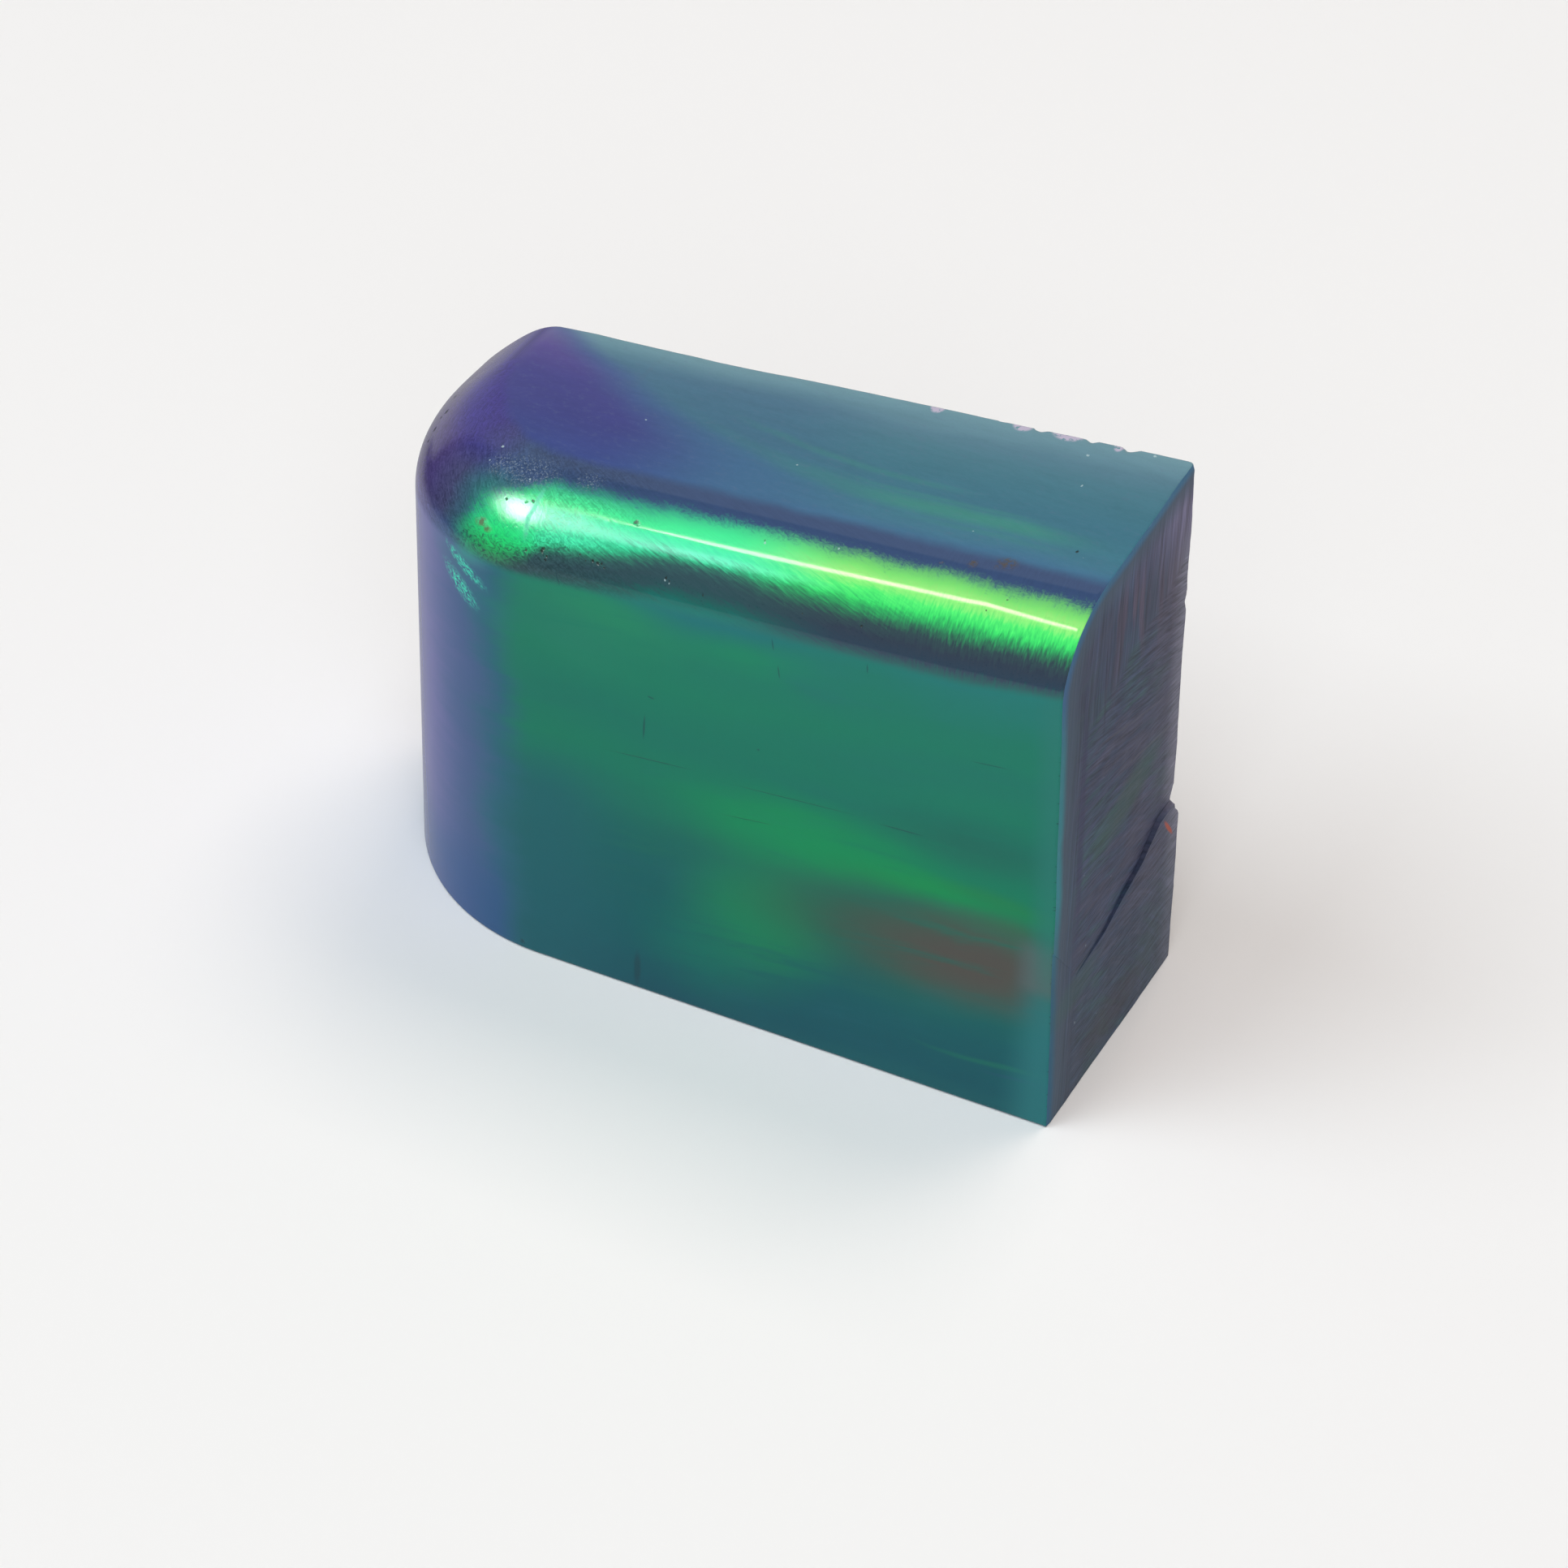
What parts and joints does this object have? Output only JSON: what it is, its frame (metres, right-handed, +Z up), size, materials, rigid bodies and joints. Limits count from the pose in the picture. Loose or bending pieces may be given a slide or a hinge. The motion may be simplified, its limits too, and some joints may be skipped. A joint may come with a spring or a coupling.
{
  "type": "opal block",
  "caption": "Corner of a thick rounded opal brick, polished outside and sawn flat below, behind and at its end, for display or as cutting rough.",
  "frame": {"origin": "middle of the outer box on the plane of the sawn bottom, which the block rests on", "axes": "+X along the block towards its sawn end, -Y out of the polished face, +Y out of the sawn back, +Z up"},
  "size_m": [0.0372, 0.0132, 0.0295],
  "materials": {
    "opal": "polished"
  },
  "bodies": {
    "root": {"opal_block": "opal"}
  },
  "joints": []
}
